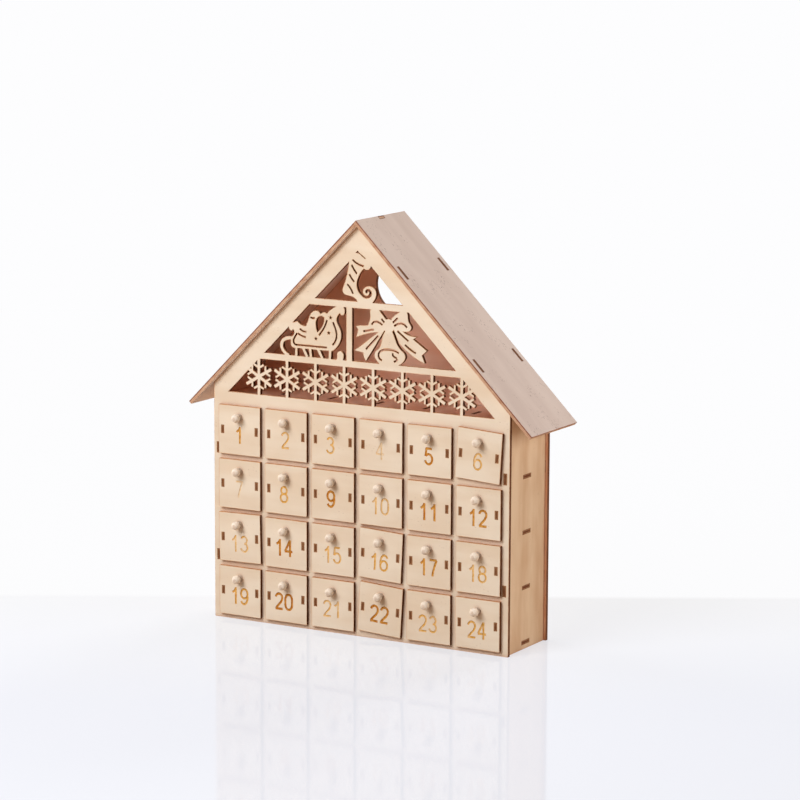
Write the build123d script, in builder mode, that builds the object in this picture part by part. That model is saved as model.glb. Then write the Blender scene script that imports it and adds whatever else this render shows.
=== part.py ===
"""Wooden advent calendar: a gabled house of laser-cut plywood with drawers in rows.

Lengths are millimetres. X runs across the front, Y from the front to the back and
Z up. The origin is on the table, under the middle of the whole object.
"""

import os
from math import cos, radians, sin, sqrt, tan

from build123d import *

os.makedirs("parts", exist_ok=True)

# Roof: with the house below it, 268 across and 285 high
roof_depth = 65.0
roof_pitch = 45.0  # degrees, so that the two roof slabs meet square
eave_overhang = 18.25  # from a panel's side edge out to the roof's tip
roof_overhang = 4.0  # past the panels, front and back

# Plywood
sheet = 2.5
drawer_sheet = 2.2

# Clearances
fit_gap = 0.1  # around every tab and between glued faces
slide_gap = 0.2  # under a drawer and behind its front plate
overrun = 1.0  # how far a cut runs past the face it starts from

# House: panels at front and back stand a little past the side walls
panel_lip = 2.0
eave_rise = 9.87  # from the attic floor's mid-plane up to a panel's eave corner
tab_length = 11.0
wall_tab_length = 7.5
wall_tab_rise = 2.2  # from a shelf's mid-plane up to a wall tab's middle
ridge_tab_length = 7.0
roof_tab_shares = (0.25, 0.68)  # of the slope, from the ridge down

# Drawer grid
columns = 6
rows = 4
plate_width = 33.5
plate_height = 34.2
column_gap = 4.0  # between plates in a row
row_gap = 3.6  # between plates in a column
bottom_shelf_height = 4.5

# Drawers: a tray sits loosely in its opening
plate_drop = 1.3  # from a shelf's mid-plane down to the plate's lower edge
plate_lip = 1.2  # the plate covers its opening by this at the top
plate_side_lip = 0.85  # and by this at each side
tray_side_gap = 1.1
tray_top_gap = 2.45
tray_rear_gap = 4.7
tray_floor_rise = 1.5
tray_back_inset = 3.0
plate_slot_length = 5.6
tray_tab_length = 9.0

# Some drawers sit crooked: degrees clockwise from the front, by drawer number
crooked_drawers = {6: 3.4, 13: -1.2, 16: 2.6, 22: 3.4}

# Turned knobs, each in a few flat faces
knob_radius = 3.0
knob_stand = 4.6  # from the plate's face to the middle of the ball
knob_neck_radius = 2.5
knob_tip_radius = 0.9
knob_peg_radius = 1.5
knob_rise = 9.2  # above the plate's middle
knob_sides = 10
knob_latitudes = (-24.0, 4.0, 46.0)  # degrees round the ball, from back to front

# Fretwork gable
gable_band = 12.2  # wood left along the slopes
gable_bar = 4.4
frieze_rise = 4.1  # from the attic floor's mid-plane
frieze_height = 25.0
middle_window_height = 36.2
post_width = 4.5
post_centre = -7.3  # left of the middle
slot_width = 1.2
runner_width = 2.4
strut_width = 1.9
star_radius = 1.5
crystals = 8
crystal_stroke = 2.2
crystal_branch_stroke = 1.5

# Back panel
hole_radius = 18.3
hole_drop = 46.82  # from the panel's apex down to the hole's middle

# Worked-out sizes: drawer grid and house
slope_x = cos(radians(roof_pitch))
slope_z = sin(radians(roof_pitch))
column_pitch = plate_width + column_gap
row_pitch = plate_height + row_gap
shelf_heights = [bottom_shelf_height + row * row_pitch for row in range(rows + 1)]
column_middles = [(column - (columns - 1) / 2) * column_pitch for column in range(columns)]
divider_middles = [(column - (columns - 2) / 2) * column_pitch for column in range(columns - 1)]
wall_middle = columns / 2 * column_pitch
wall_outside = wall_middle + sheet / 2
wall_inside = wall_middle - sheet / 2
house_width = 2 * (wall_outside + panel_lip)
eave_height = shelf_heights[-1] + eave_rise
gable_apex = eave_height + house_width / 2 * tan(radians(roof_pitch))
wall_top = gable_apex - wall_outside * tan(radians(roof_pitch)) - fit_gap
ridge_height = gable_apex + (sheet + fit_gap) / slope_x
roof_span = house_width + 2 * eave_overhang
slope_length = roof_span / 2 / slope_x
hole_height = gable_apex - hole_drop

# Worked-out sizes: places along Y, with the middle of the whole object at zero
body_depth = roof_depth - 2 * roof_overhang
knob_reach = slide_gap + drawer_sheet + knob_stand + knob_radius
house_middle = (knob_reach - roof_overhang) / 2
front_face = house_middle - body_depth / 2
front_inside = front_face + sheet
back_face = house_middle + body_depth / 2
back_inside = back_face - sheet
inner_depth = back_inside - front_inside
plate_back = front_face - slide_gap

# Worked-out sizes: slots, openings and trays
tab_slot_length = tab_length + 2 * fit_gap
sheet_slot = sheet + 2 * fit_gap
drawer_sheet_slot = drawer_sheet + 2 * fit_gap
plate_rise = plate_height / 2 - plate_drop
opening_width = plate_width - 2 * plate_side_lip
opening_foot = sheet / 2  # level with the top of the shelf
opening_height = plate_rise + plate_height / 2 - plate_lip - opening_foot
tray_width = opening_width - 2 * tray_side_gap
tray_height = opening_height - slide_gap - tray_top_gap
tray_length = back_inside - plate_back - tray_rear_gap
tray_bottom = opening_foot + slide_gap - plate_rise  # below the plate's middle
tray_side_middle = tray_width / 2 - drawer_sheet / 2
tray_inner_width = tray_width - 2 * drawer_sheet
tray_back_middle = tray_length - tray_back_inset - drawer_sheet / 2

# Worked-out sizes: gable windows
window_apex = gable_apex - gable_band / slope_x
frieze_bottom = shelf_heights[-1] + frieze_rise
frieze_top = frieze_bottom + frieze_height
middle_bottom = frieze_top + gable_bar
middle_top = middle_bottom + middle_window_height
top_bottom = middle_top + gable_bar
post_left = post_centre - post_width / 2
post_right = post_centre + post_width / 2

# Straight steps of a curve in the fretwork, for each of its points
outline_steps = 3
stroke_steps = 2

# Stocking in the top window, as shares of that window's half width and height from its
# foot. Each list is one run of the outline: a single point makes a line, several a curve.
stocking_shares = [
    [(-0.19, 0.97)],
    [(-0.24, 0.65), (-0.29, 0.43), (-0.35, 0.27), (-0.37, 0.19), (-0.33, 0.13), (-0.25, 0.11),
     (-0.11, 0.08), (-0.02, -0.02)],
    [(0.29, -0.02)],
    [(0.37, 0.08), (0.40, 0.19), (0.37, 0.27), (0.29, 0.32), (0.20, 0.32), (0.12, 0.27),
     (0.09, 0.20), (0.12, 0.15), (0.18, 0.13), (0.24, 0.17), (0.235, 0.22)],
    [(0.20, 0.21)],
    [(0.195, 0.19), (0.175, 0.18), (0.15, 0.20), (0.16, 0.24), (0.20, 0.265), (0.26, 0.255),
     (0.295, 0.20), (0.28, 0.13), (0.22, 0.09), (0.14, 0.085), (0.05, 0.14), (-0.02, 0.23),
     (-0.045, 0.36), (-0.01, 0.48), (0.05, 0.59), (0.12, 0.66)],
    [(0.19, 0.64), (0.24, 0.66), (0.27, 0.75)],
    [(0.32, 0.90)],
    [(0.06, 1.06)],
]
stripe_shares = [
    [(-0.14, 0.82), (-0.03, 0.75), (0.11, 0.71)],
    [(-0.16, 0.72), (-0.10, 0.62), (-0.04, 0.55)],
    [(-0.21, 0.53), (-0.15, 0.44), (-0.10, 0.39)],
    [(-0.26, 0.33), (-0.19, 0.26), (-0.13, 0.15)],
]
hanger_shares = [[(-0.02, 1.01)], [(-0.07, 0.96)], [(0.02, 0.95)]]
hanger_tail_shares = [(0.01, 0.96), (0.15, 0.86)]

# Sleigh in the left window, from the post's foot, as shares of the window's height and of
# a unit of width
sleigh_unit_share = 0.556  # of the window's sill
sleigh_shares = [
    [(-1.12, 0.15)],
    [(-0.31, 0.15)],
    [(-0.21, 0.23), (-0.14, 0.34), (-0.11, 0.46), (-0.14, 0.59), (-0.21, 0.73), (-0.19, 0.82),
     (-0.14, 0.88)],
    [(-0.08, 0.84), (-0.04, 0.89), (-0.04, 0.96), (-0.09, 1.02)],
    [(-0.18, 1.02)],
    [(-0.29, 0.96), (-0.36, 0.91), (-0.42, 0.85)],
    [(-0.47, 0.87), (-0.56, 0.83)],
    [(-0.65, 0.89), (-0.75, 0.85), (-0.81, 0.74), (-0.85, 0.64), (-0.88, 0.58)],
    [(-0.97, 0.59), (-1.06, 0.66)],
    [(-1.16, 0.63), (-1.24, 0.58), (-1.25, 0.52), (-1.21, 0.47), (-1.16, 0.50)],
    [(-1.13, 0.44), (-1.16, 0.38), (-1.21, 0.34)],
    [(-1.21, 0.21)],
    [(-1.19, 0.17), (-1.12, 0.15)],
]
runner_shares = [(-1.19, 0.33), (-1.32, 0.31), (-1.40, 0.25), (-1.41, 0.14), (-1.35, 0.05), (-1.25, -0.01)]
runner_scroll_shares = [
    [(-0.26, -0.02)],
    [(-0.20, 0.04), (-0.20, 0.12), (-0.13, 0.17), (-0.07, 0.13), (-0.06, 0.05), (-0.10, -0.02)],
]
strut_top_share = 0.17
strut_shares = [(-1.09, -1.09), (-0.95, -0.85), (-0.79, -0.77), (-0.62, -0.52), (-0.35, -0.36)]
sleigh_slot_shares = [
    [(-0.42, 0.21), (-1.11, 0.21)],
    [(-1.11, 0.21), (-1.15, 0.28), (-1.12, 0.36), (-1.07, 0.43)],
    [(-0.29, 0.70), (-0.24, 0.59), (-0.21, 0.48), (-0.23, 0.36), (-0.30, 0.27)],
    [(-0.42, 0.73), (-0.46, 0.62), (-0.52, 0.52), (-0.59, 0.43)],
    [(-1.01, 0.52), (-0.94, 0.48), (-0.87, 0.47)],
    [(-1.06, 0.43), (-0.97, 0.39), (-0.88, 0.37)],
    [(-0.78, 0.76), (-0.73, 0.74), (-0.69, 0.75)],
]
sack_fold_shares = [
    [(-0.63, 0.48)],
    [(-0.66, 0.60), (-0.65, 0.72), (-0.58, 0.79), (-0.48, 0.77)],
    [(-0.50, 0.64), (-0.55, 0.56), (-0.63, 0.48)],
]
star_shares = [(-0.34, 0.78), (-0.38, 0.49), (-0.66, 0.36)]
star_points = 5
star_waist_share = 0.45  # inner radius of a star

# Bell with a bow in the right window, in shares of the same kind
bell_unit_share = 0.454  # of the window's sill
left_ribbon_shares = [
    [(0.73, 0.83)],
    [(0.65, 0.92), (0.56, 1.02)],
    [(0.43, 1.02)],
    [(0.38, 0.94), (0.39, 0.85), (0.37, 0.78), (0.34, 0.70)],
    [(0.08, 0.67)],
    [(0.13, 0.60)],
    [(0.09, 0.46)],
    [(0.29, 0.53), (0.40, 0.56), (0.53, 0.58)],
    [(0.57, 0.59)],
    [(0.40, 0.47), (0.27, 0.37), (0.05, 0.21)],
    [(0.24, 0.18)],
    [(0.25, 0.11), (0.30, 0.03)],
    [(0.69, 0.63)],
]
right_ribbon_shares = [
    [(0.83, 0.83)],
    [(0.87, 0.89), (0.94, 0.95), (1.05, 1.02)],
    [(1.14, 1.02)],
    [(1.18, 0.97), (1.19, 0.88), (1.22, 0.80), (1.26, 0.74), (1.24, 0.67), (1.18, 0.64), (1.08, 0.64)],
    [(1.21, 0.58), (1.37, 0.56)],
    [(1.30, 0.51)],
    [(1.44, 0.42), (1.59, 0.32)],
    [(1.49, 0.23)],
    [(1.55, 0.08)],
    [(1.44, 0.12), (1.24, 0.23), (1.10, 0.33), (1.00, 0.43)],
    [(0.91, 0.61)],
]
knot_shares = (0.78, 0.72)
knot_radius_share = 0.13
bell_shares = [
    [(0.72, 0.63)],
    [(0.65, 0.50), (0.62, 0.38), (0.57, 0.28), (0.50, 0.22), (0.48, 0.14), (0.52, 0.06), (0.61, -0.02)],
    [(0.95, -0.02)],
    [(1.07, 0.05), (1.13, 0.13), (1.13, 0.21), (1.06, 0.28), (0.98, 0.36), (0.93, 0.46), (0.85, 0.63)],
]
bell_slot_shares = [
    [(0.63, 0.84), (0.69, 0.78)],
    [(0.42, 0.72), (0.45, 0.76), (0.65, 0.73)],
    [(0.87, 0.79), (0.97, 0.88)],
    [(0.90, 0.73), (1.12, 0.77), (1.17, 0.72)],
    [(0.24, 0.58), (0.46, 0.63)],
    [(0.97, 0.64), (1.20, 0.47)],
    [(1.13, 0.40), (1.24, 0.32), (1.36, 0.26)],
    [(0.30, 0.25), (0.56, 0.52)],
    [(1.00, 0.23), (0.90, 0.27), (0.78, 0.28), (0.65, 0.26), (0.58, 0.21), (0.57, 0.13), (0.64, 0.07)],
    [(0.87, 0.22), (0.91, 0.15), (0.96, 0.13), (0.90, 0.06)],
]

# Snow crystals in the frieze, as shares of an arm
crystal_arms = 6
crystal_turn = 30.0  # degrees, so that one arm of each points straight up
crystal_arm_share = 0.42  # of the frieze's height
crystal_branch_share = 0.58
crystal_branch_length_share = 0.36
crystal_branch_angle = 60.0


def upright(depth):
    """A plane facing the viewer, at this distance along Y."""
    return Plane.XZ.offset(-depth)


def placed(shares, foot, unit):
    """Share points as places on the panel: foot is their origin, unit their width and height."""
    return [(foot[0] + unit[0] * x, foot[1] + unit[1] * z) for x, z in shares]


def polygon(points, mode):
    """A closed face with these corners."""
    with BuildLine() as edge:
        Polyline(*points, close=True)
    make_face(edge.edges(), mode=mode)


def outline(shares, foot, unit, mode):
    """A closed face from runs of share points, each curve drawn in short straight steps."""
    runs = [placed(run, foot, unit) for run in shares]
    corners = [runs[0][0]]
    for run in runs[1:]:
        if len(run) == 1:
            corners.append(run[0])
            continue
        curve = Edge.make_spline([corners[-1], *run])
        steps = outline_steps * len(run)
        for step in range(1, steps):
            point = curve @ (step / steps)
            corners.append((point.X, point.Y))
        corners.append(run[-1])
    if corners[-1] == corners[0]:
        corners.pop()
    polygon(corners, mode)


def strokes(shares, foot, unit, width, mode):
    """Lines of this width through share points, each curve drawn in short straight steps."""
    for run in shares:
        points = placed(run, foot, unit)
        path = Edge.make_line(*points) if len(points) == 2 else Edge.make_spline(points)
        steps = 1 if len(points) == 2 else stroke_steps * (len(points) - 1)
        left_side = []
        right_side = []
        for step in range(steps + 1):
            middle = path @ (step / steps)
            along = path % (step / steps)
            left_side.append((middle.X - along.Y * width / 2, middle.Y + along.X * width / 2))
            right_side.append((middle.X + along.Y * width / 2, middle.Y - along.X * width / 2))
        polygon(left_side + right_side[::-1], mode)


def star(middle):
    """A star-shaped face with one point up."""
    corners = []
    for corner in range(2 * star_points):
        reach = star_radius * (star_waist_share if corner % 2 else 1)
        turn = radians(90 + corner * 180 / star_points)
        corners.append((middle[0] + reach * cos(turn), middle[1] + reach * sin(turn)))
    polygon(corners, Mode.ADD)


def window_half(height):
    """Half the width between the sloping bands at this height."""
    return (window_apex - height) / tan(radians(roof_pitch))


def slope_point(share, side):
    """Where the roof's underside is at this share of the slope."""
    along = share * slope_length
    return (side * (along * slope_x - sheet * slope_z), ridge_height - along * slope_z - sheet * slope_x)


def house_outline():
    """The gabled outline with the tabs that hold the roof and the slots for the walls."""
    with BuildLine() as gable:
        Polyline(
            (-house_width / 2, 0),
            (house_width / 2, 0),
            (house_width / 2, eave_height),
            (0, gable_apex),
            (-house_width / 2, eave_height),
            close=True,
        )
    make_face(gable.edges())
    for side in (1, -1):
        for share in roof_tab_shares:
            with Locations(Location(slope_point(share, side), -side * roof_pitch)):
                Rectangle(tab_length, 2 * sheet)
        for shelf in (shelf_heights[1], shelf_heights[3]):
            with Locations((side * wall_middle, shelf + wall_tab_rise)):
                Rectangle(sheet_slot, wall_tab_length + 2 * fit_gap, mode=Mode.SUBTRACT)


# Front panel: one sheet with the drawer openings and the fretwork gable
with BuildPart() as front_panel:
    with BuildSketch(upright(front_inside)):
        house_outline()
        for shelf in shelf_heights[:-1]:
            for middle in column_middles:
                with Locations((middle, shelf + opening_foot + opening_height / 2)):
                    Rectangle(opening_width, opening_height, mode=Mode.SUBTRACT)
    extrude(amount=sheet)

    # Top window with the stocking
    with BuildSketch(upright(front_inside)):
        foot = (0, top_bottom)
        unit = (window_half(top_bottom), window_apex - top_bottom)
        with BuildLine():
            Polyline(
                (-window_half(top_bottom), top_bottom),
                (window_half(top_bottom), top_bottom),
                (0, window_apex),
                close=True,
            )
        make_face()
        outline(stocking_shares, foot, unit, Mode.SUBTRACT)
        strokes(stripe_shares, foot, unit, slot_width, Mode.ADD)
        outline(hanger_shares, foot, unit, Mode.ADD)
        strokes([hanger_tail_shares], foot, unit, slot_width / 2, Mode.ADD)
    extrude(amount=sheet, mode=Mode.SUBTRACT)

    # Left window with the sleigh
    with BuildSketch(upright(front_inside)):
        foot = (post_left, middle_bottom)
        sill = window_half(middle_bottom) + post_left
        unit = (sill * sleigh_unit_share, middle_window_height)
        with BuildLine():
            Polyline(
                (-window_half(middle_bottom), middle_bottom),
                foot,
                (post_left, middle_top),
                (-window_half(middle_top), middle_top),
                close=True,
            )
        make_face()
        outline(sleigh_shares, foot, unit, Mode.SUBTRACT)
        outline(runner_scroll_shares, foot, unit, Mode.SUBTRACT)
        strokes([runner_shares], foot, unit, runner_width, Mode.SUBTRACT)
        for top_share, foot_share in strut_shares:
            strut_ends = [(top_share, strut_top_share), (foot_share, 0)]
            strokes([strut_ends], foot, unit, strut_width, Mode.SUBTRACT)
        strokes(sleigh_slot_shares, foot, unit, slot_width, Mode.ADD)
        outline(sack_fold_shares, foot, unit, Mode.ADD)
        for middle in placed(star_shares, foot, unit):
            star(middle)
    extrude(amount=sheet, mode=Mode.SUBTRACT)

    # Right window with the bell and bow
    with BuildSketch(upright(front_inside)):
        foot = (post_right, middle_bottom)
        sill = window_half(middle_bottom) - post_right
        unit = (sill * bell_unit_share, middle_window_height)
        with BuildLine():
            Polyline(
                foot,
                (window_half(middle_bottom), middle_bottom),
                (window_half(middle_top), middle_top),
                (post_right, middle_top),
                close=True,
            )
        make_face()
        outline(left_ribbon_shares, foot, unit, Mode.SUBTRACT)
        outline(right_ribbon_shares, foot, unit, Mode.SUBTRACT)
        outline(bell_shares, foot, unit, Mode.SUBTRACT)
        with Locations(*placed([knot_shares], foot, unit)):
            Circle(middle_window_height * knot_radius_share, mode=Mode.SUBTRACT)
        strokes(bell_slot_shares, foot, unit, slot_width, Mode.ADD)
    extrude(amount=sheet, mode=Mode.SUBTRACT)

    # Frieze of snow crystals
    with BuildSketch(upright(front_inside)):
        with BuildLine():
            Polyline(
                (-window_half(frieze_bottom), frieze_bottom),
                (window_half(frieze_bottom), frieze_bottom),
                (window_half(frieze_top), frieze_top),
                (-window_half(frieze_top), frieze_top),
                close=True,
            )
        make_face()
        arm = frieze_height * crystal_arm_share
        branch = arm * crystal_branch_length_share
        branch_length = branch + crystal_branch_stroke
        crystal_pitch = 2 * window_half(frieze_top) / (crystals - 1)
        for crystal in range(crystals):
            middle = (crystal - (crystals - 1) / 2) * crystal_pitch
            with Locations((middle, frieze_bottom + frieze_height / 2)):
                Rectangle(crystal_stroke, frieze_height + overrun, mode=Mode.SUBTRACT)
                with PolarLocations(0, crystal_arms, crystal_turn):
                    with Locations((arm / 2, 0)):
                        Rectangle(arm + crystal_stroke, crystal_stroke, mode=Mode.SUBTRACT)
                    for lean in (crystal_branch_angle, -crystal_branch_angle):
                        with Locations(Location((arm * crystal_branch_share, 0), lean)):
                            with Locations((branch / 2, 0)):
                                Rectangle(branch_length, crystal_branch_stroke, mode=Mode.SUBTRACT)
    extrude(amount=sheet, mode=Mode.SUBTRACT)
front_panel.part.label = "front_panel"
export_step(front_panel.part, "parts/front_panel.step")

# Back panel: the same outline, with a round hole for a hand or a light
with BuildPart() as back_panel:
    with BuildSketch(upright(back_face)):
        house_outline()
        with Locations((0, hole_height)):
            Circle(hole_radius, mode=Mode.SUBTRACT)
    extrude(amount=sheet)
back_panel.part.label = "back_panel"
export_step(back_panel.part, "parts/back_panel.step")

# Side walls: tabs through both panels, and slots for the shelves' tabs
for side, name in ((-1, "left_wall"), (1, "right_wall")):
    with BuildPart() as wall:
        with BuildSketch(Plane.YZ.offset(side * wall_middle)):
            with Locations((house_middle, wall_top / 2)):
                Rectangle(inner_depth - 2 * fit_gap, wall_top)
            for shelf in (shelf_heights[1], shelf_heights[3]):
                with Locations((house_middle, shelf + wall_tab_rise)):
                    Rectangle(body_depth, wall_tab_length)
            for shelf in shelf_heights:
                with Locations((house_middle, shelf)):
                    Rectangle(tab_slot_length, sheet_slot, mode=Mode.SUBTRACT)
        extrude(amount=sheet / 2, both=True)
    wall.part.label = name
    export_step(wall.part, f"parts/{name}.step")

# Shelves: a tab at each end; the middle ones are notched from behind for the dividers
shelf_names = ("bottom_shelf", "lower_shelf", "middle_shelf", "upper_shelf", "attic_floor")
for height, name in zip(shelf_heights, shelf_names):
    with BuildPart() as shelf:
        with BuildSketch(Plane.XY.offset(height)):
            with Locations((0, house_middle)):
                Rectangle(2 * (wall_inside - fit_gap), inner_depth - 2 * fit_gap)
                Rectangle(2 * wall_outside, tab_length)
            for middle in divider_middles:
                if name in ("bottom_shelf", "attic_floor"):
                    with Locations((middle, house_middle)):
                        Rectangle(sheet_slot, tab_slot_length, mode=Mode.SUBTRACT)
                else:
                    notch = inner_depth / 2
                    with Locations((middle, house_middle + notch / 2)):
                        Rectangle(sheet_slot, notch + fit_gap, mode=Mode.SUBTRACT)
        extrude(amount=sheet / 2, both=True)
    shelf.part.label = name
    export_step(shelf.part, f"parts/{name}.step")

# Dividers: notched from the front, so that they and the middle shelves interlock
divider_bottom = shelf_heights[0] + sheet / 2 + fit_gap
divider_top = shelf_heights[-1] - sheet / 2 - fit_gap
divider_pieces = []
for middle in divider_middles:
    with BuildPart() as divider:
        with BuildSketch(Plane.YZ.offset(middle)):
            with Locations((house_middle, (divider_bottom + divider_top) / 2)):
                Rectangle(inner_depth - 2 * fit_gap, divider_top - divider_bottom)
                Rectangle(tab_length, divider_top - divider_bottom + 2 * (sheet + fit_gap))
            for height in shelf_heights[1:-1]:
                notch = inner_depth / 2
                with Locations((house_middle - notch / 2, height)):
                    Rectangle(notch + fit_gap, sheet_slot, mode=Mode.SUBTRACT)
        extrude(amount=sheet / 2, both=True)
    divider_pieces.append(divider.part)
dividers = Compound(label="dividers", children=divider_pieces)
export_step(dividers, "parts/dividers.step")

# Roof: the right slab covers the left one's upper edge, and a finger of the left slab
# comes up through a notch in the right one
for side, name in ((-1, "left_roof"), (1, "right_roof")):
    slab_top = Plane(
        origin=(0, house_middle, ridge_height),
        x_dir=(side * slope_x, 0, -slope_z),
        z_dir=(side * slope_z, 0, slope_x),
    )
    with BuildPart() as slab:
        with BuildSketch(slab_top):
            start = 0 if side == 1 else sheet + fit_gap
            with Locations(((start + slope_length) / 2, 0)):
                Rectangle(slope_length - start, roof_depth)
            with Locations((sheet / 2, 0)):
                if side == 1:
                    Rectangle(sheet, ridge_tab_length + 2 * fit_gap, mode=Mode.SUBTRACT)
                else:
                    Rectangle(sheet, ridge_tab_length)
                    with Locations((sheet / 2, 0)):
                        Rectangle(2 * fit_gap, ridge_tab_length)
            for share in roof_tab_shares:
                for panel_side in (-1, 1):
                    with Locations((share * slope_length, panel_side * (body_depth - sheet) / 2)):
                        Rectangle(tab_slot_length, sheet_slot, mode=Mode.SUBTRACT)
        extrude(amount=-sheet)
    slab.part.label = name
    export_step(slab.part, f"parts/{name}.step")

# One drawer, with its plate's back at Y zero and the plate's middle at the origin
with BuildPart() as plate:
    with BuildSketch(upright(0)):
        Rectangle(plate_width, plate_height)
        with Locations((-tray_side_middle, 0), (tray_side_middle, 0)):
            Rectangle(drawer_sheet_slot, plate_slot_length + 2 * fit_gap, mode=Mode.SUBTRACT)
        with Locations((0, knob_rise)):
            RegularPolygon(knob_peg_radius + fit_gap, knob_sides, mode=Mode.SUBTRACT)
    extrude(amount=drawer_sheet)

floor_height = tray_bottom + tray_floor_rise + drawer_sheet / 2
tray_middle = tray_bottom + tray_height / 2
with BuildPart() as tray_side:
    with BuildSketch(Plane.YZ):
        with Locations((tray_length / 2 + fit_gap / 2, tray_middle)):
            Rectangle(tray_length - fit_gap, tray_height)
        with Locations((0, 0)):
            Rectangle(2 * drawer_sheet, plate_slot_length)
        with Locations((tray_length / 2, floor_height)):
            Rectangle(tray_tab_length + 2 * fit_gap, drawer_sheet_slot, mode=Mode.SUBTRACT)
        with Locations((tray_back_middle, tray_middle)):
            Rectangle(drawer_sheet_slot, tray_tab_length + 2 * fit_gap, mode=Mode.SUBTRACT)
    extrude(amount=drawer_sheet / 2, both=True)

with BuildPart() as tray_back:
    back_bottom = floor_height + drawer_sheet / 2 + fit_gap
    back_top = tray_bottom + tray_height
    with BuildSketch(upright(tray_back_middle)):
        with Locations((0, (back_bottom + back_top) / 2)):
            Rectangle(tray_inner_width - 2 * fit_gap, back_top - back_bottom)
        with Locations((0, tray_middle)):
            Rectangle(tray_width, tray_tab_length)
    extrude(amount=drawer_sheet / 2, both=True)

with BuildPart() as tray_floor:
    with BuildSketch(Plane.XY.offset(floor_height)):
        with Locations((0, tray_length / 2)):
            Rectangle(tray_inner_width - 2 * fit_gap, tray_length - 2 * fit_gap)
            Rectangle(tray_width, tray_tab_length)
    extrude(amount=drawer_sheet / 2, both=True)

# One knob: a ball on a short neck, with a peg that goes through the plate
knob_neck_length = knob_stand - sqrt(knob_radius**2 - knob_neck_radius**2)
knob_rings = [(knob_neck_length, knob_neck_radius), (knob_stand + knob_radius, knob_tip_radius)]
for latitude in knob_latitudes:
    forward = knob_stand + knob_radius * sin(radians(latitude))
    knob_rings.append((forward, knob_radius * cos(radians(latitude))))
ball_corners = []
for forward, radius in knob_rings:
    for side in range(knob_sides):
        turn = radians(side * 360 / knob_sides)
        ball_corners.append((radius * cos(turn), -drawer_sheet - forward, radius * sin(turn)))
with BuildPart() as knob:
    ConvexPolyhedron(ball_corners)
    for radius, reach in ((knob_neck_radius, knob_neck_length), (knob_peg_radius, -drawer_sheet)):
        with BuildSketch(upright(-drawer_sheet)):
            RegularPolygon(radius, knob_sides)
        extrude(amount=reach)

# The drawers and knobs at their places, numbered along the rows from the top left
for number in range(1, columns * rows + 1):
    row, column = divmod(number - 1, columns)
    tilt = crooked_drawers.get(number, 0)
    lift = tray_width / 2 * sin(radians(abs(tilt)))
    height = shelf_heights[rows - 1 - row] + plate_rise + lift
    place = Location((column_middles[column], plate_back, height), (0, tilt, 0))
    left_place = place * Location((-tray_side_middle, 0, 0))
    right_place = place * Location((tray_side_middle, 0, 0))
    drawer_box = Compound(
        label=f"drawer_box_{number:02d}",
        children=[
            plate.part.moved(place),
            tray_side.part.moved(left_place),
            tray_side.part.moved(right_place),
            tray_back.part.moved(place),
            tray_floor.part.moved(place),
        ],
    )
    export_step(drawer_box, f"parts/drawer_box_{number:02d}.step")
    drawer_knob = knob.part.moved(place * Location((0, 0, knob_rise)))
    drawer_knob.label = f"knob_{number:02d}"
    export_step(drawer_knob, f"parts/knob_{number:02d}.step")
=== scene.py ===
# %% [markdown]
# # A wooden advent calendar
# The object is a small gabled house of laser-cut plywood with 24 drawers. Its shapes come
# from a CAD model, which is loaded here as a fixed frame in metres. This lesson gives each
# piece its wood, its burnt edges, its numeral and its knob, and then sets up the picture.

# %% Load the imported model
from math import acos, atan2, cos, degrees, radians, sin

import bmesh
import bpy
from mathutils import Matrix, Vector


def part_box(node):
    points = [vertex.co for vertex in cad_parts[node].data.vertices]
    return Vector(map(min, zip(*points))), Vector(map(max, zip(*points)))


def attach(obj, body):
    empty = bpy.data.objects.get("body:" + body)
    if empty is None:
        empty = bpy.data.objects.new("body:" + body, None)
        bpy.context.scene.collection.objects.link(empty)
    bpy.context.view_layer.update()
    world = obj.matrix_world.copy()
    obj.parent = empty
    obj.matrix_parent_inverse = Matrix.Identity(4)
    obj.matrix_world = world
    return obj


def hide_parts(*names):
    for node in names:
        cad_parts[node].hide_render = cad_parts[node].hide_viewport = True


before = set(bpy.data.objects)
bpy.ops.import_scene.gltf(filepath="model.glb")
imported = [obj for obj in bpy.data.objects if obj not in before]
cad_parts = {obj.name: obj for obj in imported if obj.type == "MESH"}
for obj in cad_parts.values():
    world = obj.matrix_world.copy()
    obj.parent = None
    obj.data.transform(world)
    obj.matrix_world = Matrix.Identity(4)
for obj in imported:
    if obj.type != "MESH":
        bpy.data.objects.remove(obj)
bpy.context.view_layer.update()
mm = 0.001
scene = bpy.context.scene

# %% [markdown]
# ## Camera
# The photograph was taken with a long lens from the front right and a little above. Place,
# angles and focal length were fitted to the corners of the panel, the roof and the drawers,
# so the render can be laid over the photograph. A long lens keeps the rows nearly parallel.

# %% Camera
camera_data = bpy.data.cameras.new("camera")
camera_data.sensor_width = 36
camera_data.lens = 147.905
camera_data.clip_start = 0.05
camera = bpy.data.objects.new("camera", camera_data)
camera.location = (1.112794, -1.899537, 0.538776)
camera.rotation_euler = [radians(angle) for angle in (80.22354, -0.2315, 30.00615)]
scene.collection.objects.link(camera)
scene.camera = camera
print("camera distance:", round(camera.location.length, 3), "m")

# %% [markdown]
# ## Two small tools for materials
# Colours are read off as sRGB hex codes, but shaders work with linear light, so one function
# converts them. A second one adds a node, sets its properties and fills or links its inputs,
# which keeps each material short enough to read from top to bottom. An input is named, or
# numbered where a node has several of the same name: a Mix node's colours are 6 and 7, and
# its mixed colour is output 2.

# %% Colour and node helpers
def linear(code):
    """An sRGB hex code as linear red, green, blue and alpha."""
    shares = [int(code[place:place + 2], 16) / 255 for place in (1, 3, 5)]
    return [s / 12.92 if s <= 0.04045 else ((s + 0.055) / 1.055) ** 2.4 for s in shares] + [1.0]


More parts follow.
